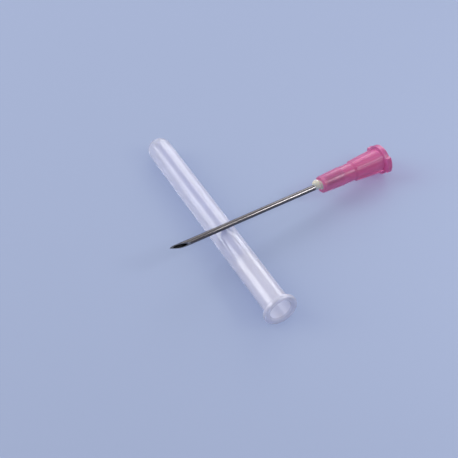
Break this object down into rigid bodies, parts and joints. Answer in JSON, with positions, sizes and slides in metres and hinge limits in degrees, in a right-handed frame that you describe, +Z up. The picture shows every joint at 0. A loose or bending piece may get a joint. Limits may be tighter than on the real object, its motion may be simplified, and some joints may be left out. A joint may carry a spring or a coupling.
{
  "type": "hypodermic needle",
  "caption": "Hypodermic needle: finned hub with a conical socket, bevelled steel tube and adhesive bead, lying across its open sheath.",
  "frame": {"origin": "middle of the bounding box seen from above, on the plane the needle and its sheath rest on", "axes": "+Z up; the needle lies along X with its tip towards -X and its hub towards +X; the sheath lies nearly along Y with its mouth towards -Y"},
  "size_m": [0.0562, 0.0574, 0.0084],
  "materials": {
    "hub_plastic": "translucent pink, satin gloss",
    "needle_steel": "drawn tube, bright, ground bevel",
    "adhesive": "cream, smooth",
    "sheath_plastic": "milky translucent, smooth"
  },
  "bodies": {
    "root": {"hub": "hub_plastic", "cannula": "needle_steel", "adhesive_bead": "adhesive", "sheath": "sheath_plastic"}
  },
  "joints": []
}
